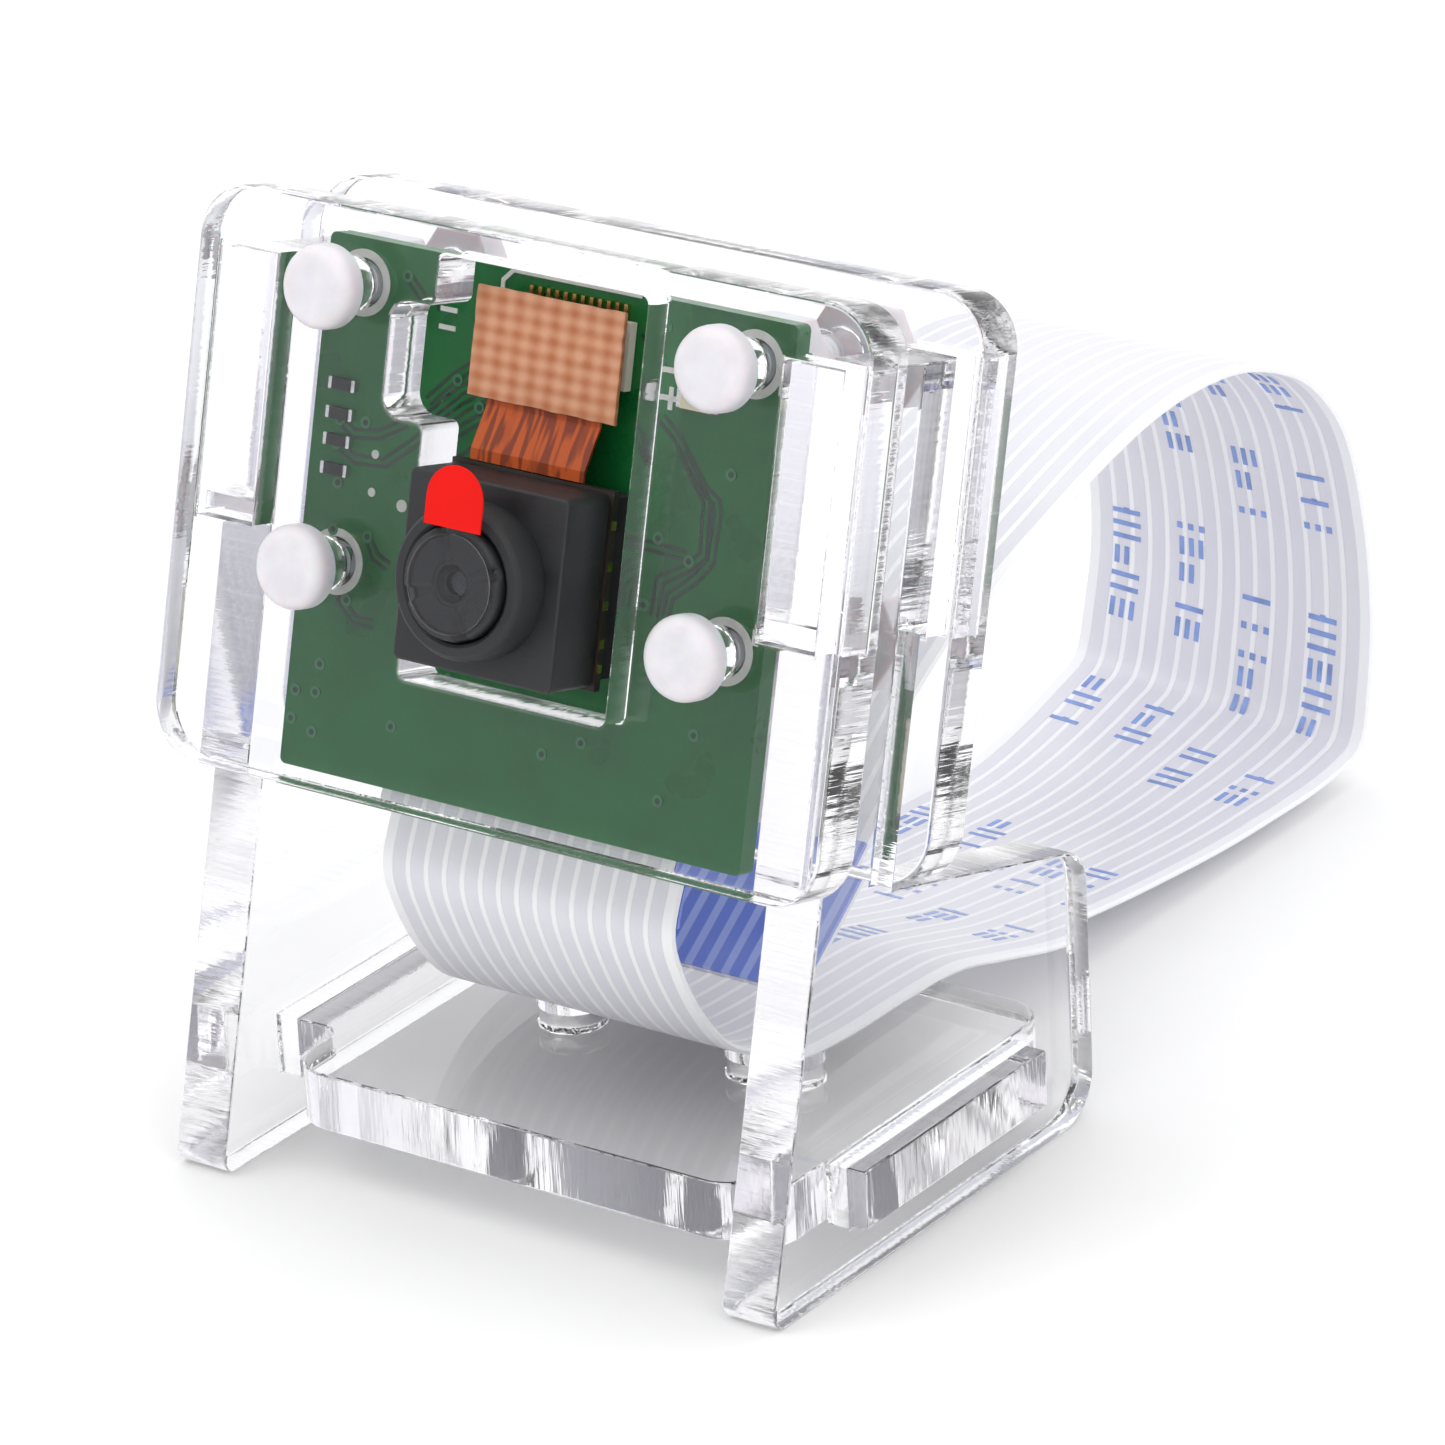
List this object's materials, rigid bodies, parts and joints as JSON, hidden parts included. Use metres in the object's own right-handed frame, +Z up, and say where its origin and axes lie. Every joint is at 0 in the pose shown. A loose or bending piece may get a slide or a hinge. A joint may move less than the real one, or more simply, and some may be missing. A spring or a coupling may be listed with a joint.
{
  "type": "camera board holder",
  "caption": "Clear acrylic desk holder that leans back slightly, with a small camera board bolted between two plates and a flat ribbon cable looping out behind.",
  "frame": {"origin": "on the resting surface, below the middle of the two feet, from toe to heel and from side to side", "axes": "+Z up, +X to the right as seen from the front, and -Y the way the camera looks; the plates lean back 15 degrees, towards +Y"},
  "size_m": [0.036, 0.0637, 0.0444],
  "materials": {
    "acrylic": "clear, polished faces and laser-cut edges",
    "nylon": "satin",
    "solder_mask": "semi-gloss lacquer over fibreglass",
    "black_plastic": "satin",
    "lens_glass": "coated",
    "clear_film": "clear film",
    "red_film": "satin film",
    "chip_black": "moulded",
    "polyimide": "satin film",
    "foam": "closed-cell foam",
    "copper_weave": "woven, coppery",
    "ivory_plastic": "moulded",
    "tinned_metal": "bright tin",
    "capacitor_body": "fired ceramic",
    "ribbon_film": "white film over flat conductors",
    "blue_film": "satin film"
  },
  "bodies": {
    "holder": {"front_plate": "acrylic", "back_plate": "acrylic", "left_leg": "acrylic", "right_leg": "acrylic", "base_plate": "acrylic", "screw_1": "nylon", "screw_2": "nylon", "screw_3": "nylon", "screw_4": "nylon", "board_nut_1": "nylon", "board_nut_2": "nylon", "board_nut_3": "nylon", "board_nut_4": "nylon", "back_nut_1": "nylon", "back_nut_2": "nylon", "back_nut_3": "nylon", "back_nut_4": "nylon", "camera_board": "solder_mask", "sensor_housing": "black_plastic", "ir_filter": "lens_glass", "image_sensor": "chip_black", "sensor_substrate": "polyimide", "foam_pad": "foam", "sensor_flex": "polyimide", "flex_stiffener": "copper_weave", "flex_plug": "chip_black", "board_receptacle": "ivory_plastic", "status_led": "ivory_plastic", "resistor_1": "chip_black", "resistor_2": "chip_black", "resistor_3": "chip_black", "resistor_4": "chip_black", "oscillator": "tinned_metal", "regulator_1": "chip_black", "regulator_2": "chip_black", "capacitor_1": "capacitor_body", "capacitor_2": "capacitor_body", "capacitor_3": "capacitor_body", "capacitor_4": "capacitor_body", "ribbon_socket": "ivory_plastic", "ribbon_cable": "ribbon_film", "ribbon_stiffener_board": "blue_film", "ribbon_stiffener_free": "blue_film"},
    "focus_barrel": {"lens_barrel": "black_plastic", "lens_element": "lens_glass"},
    "film": {"lens_film": "clear_film", "film_pull_tab": "red_film"},
    "latch": {"ribbon_latch": "black_plastic"}
  },
  "joints": [
    {"name": "focus_turn", "type": "hinge", "parent": "holder", "child": "focus_barrel", "pos_m": [0.00035, -0.0115, 0.03139], "axis": [0, -0.9659, 0.2588], "range_deg": [-180, 180]},
    {"name": "film_pull", "type": "slide", "parent": "focus_barrel", "child": "film", "axis": [0, -0.9659, 0.2588], "range_m": [0, 0.01]},
    {"name": "latch_slide", "type": "slide", "parent": "holder", "child": "latch", "axis": [0, -0.2588, -0.9659], "range_m": [0, 0.0009]}
  ]
}
